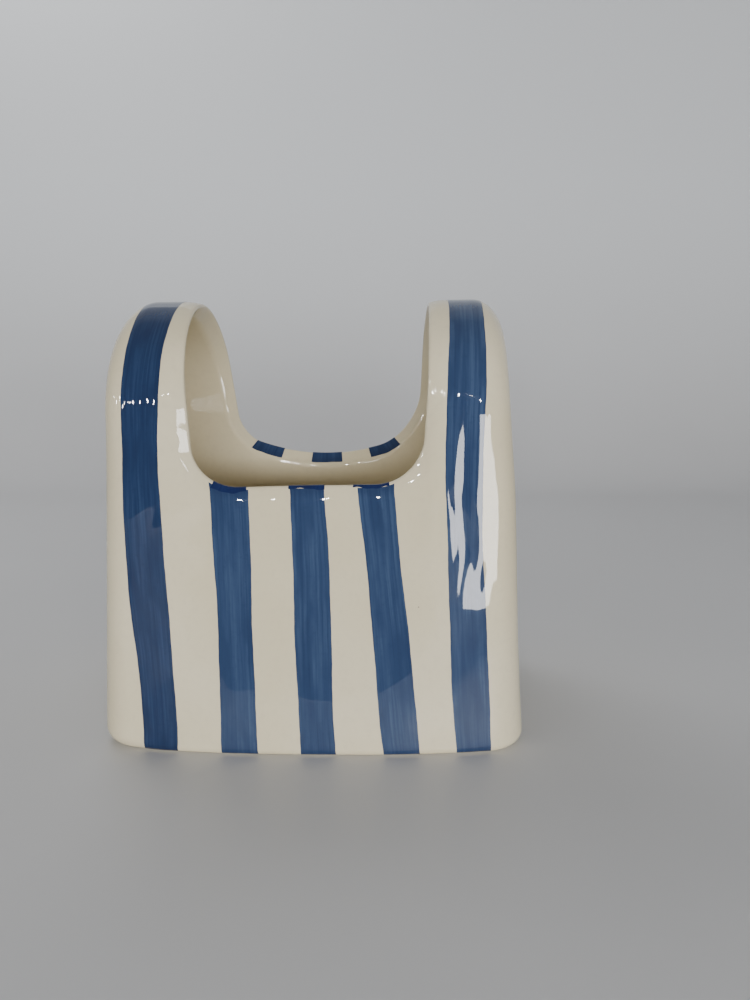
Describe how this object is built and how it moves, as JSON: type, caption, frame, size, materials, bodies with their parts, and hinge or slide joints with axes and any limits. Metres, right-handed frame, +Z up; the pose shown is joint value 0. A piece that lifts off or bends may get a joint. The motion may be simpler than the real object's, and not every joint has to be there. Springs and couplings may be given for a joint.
{
  "type": "ceramic bag-shaped vessel",
  "caption": "Glazed ceramic vessel shaped like a carrier bag: open top, two hooded handles, a U-shaped mouth between them and hand-painted blue stripes.",
  "frame": {"origin": "middle of the foot, on the surface that the vessel stands on", "axes": "+X across the width towards the right handle, -Y is the front, +Z is up"},
  "size_m": [0.16, 0.11, 0.165],
  "materials": {
    "cream_glaze": "glossy clear glaze over cream clay",
    "blue_underglaze": "brushed mid-blue colour under glossy clear glaze",
    "dark_blue_underglaze": "darker second stroke under glossy clear glaze"
  },
  "bodies": {
    "root": {"base_slab": "cream_glaze", "front_slab": "cream_glaze", "back_slab": "cream_glaze", "left_side_slab": "cream_glaze", "right_side_slab": "cream_glaze", "left_handle_stripe": "blue_underglaze", "right_handle_stripe": "blue_underglaze", "front_stripe_left": "blue_underglaze", "front_stripe_middle": "blue_underglaze", "front_stripe_right": "blue_underglaze", "back_stripe_left": "blue_underglaze", "back_stripe_middle": "blue_underglaze", "back_stripe_right": "blue_underglaze", "front_lip_dab_left": "dark_blue_underglaze", "front_lip_dab_middle": "dark_blue_underglaze", "front_lip_dab_right": "dark_blue_underglaze", "back_lip_dab_left": "dark_blue_underglaze", "back_lip_dab_middle": "dark_blue_underglaze", "back_lip_dab_right": "dark_blue_underglaze"}
  },
  "joints": []
}
